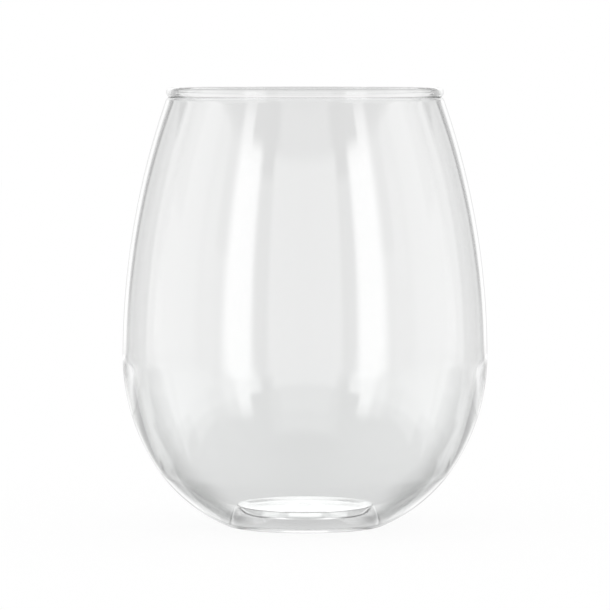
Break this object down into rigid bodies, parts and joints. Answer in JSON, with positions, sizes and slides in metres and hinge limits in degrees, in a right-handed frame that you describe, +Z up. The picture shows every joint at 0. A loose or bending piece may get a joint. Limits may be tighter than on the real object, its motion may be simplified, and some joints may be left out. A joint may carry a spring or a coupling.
{
  "type": "stemless wine glass",
  "caption": "Clear stemless wine glass with an egg-shaped bowl, a beaded rim and a raised floor over a small round foot.",
  "frame": {"origin": "on the table, under the middle of the foot", "axes": "+Z up along the axis of the bowl, from the foot to the rim; the glass is round, so X and Y are alike"},
  "size_m": [0.0948, 0.0948, 0.114],
  "materials": {
    "clear_glass": "clear, fire-polished"
  },
  "bodies": {
    "root": {"glass": "clear_glass"}
  },
  "joints": []
}
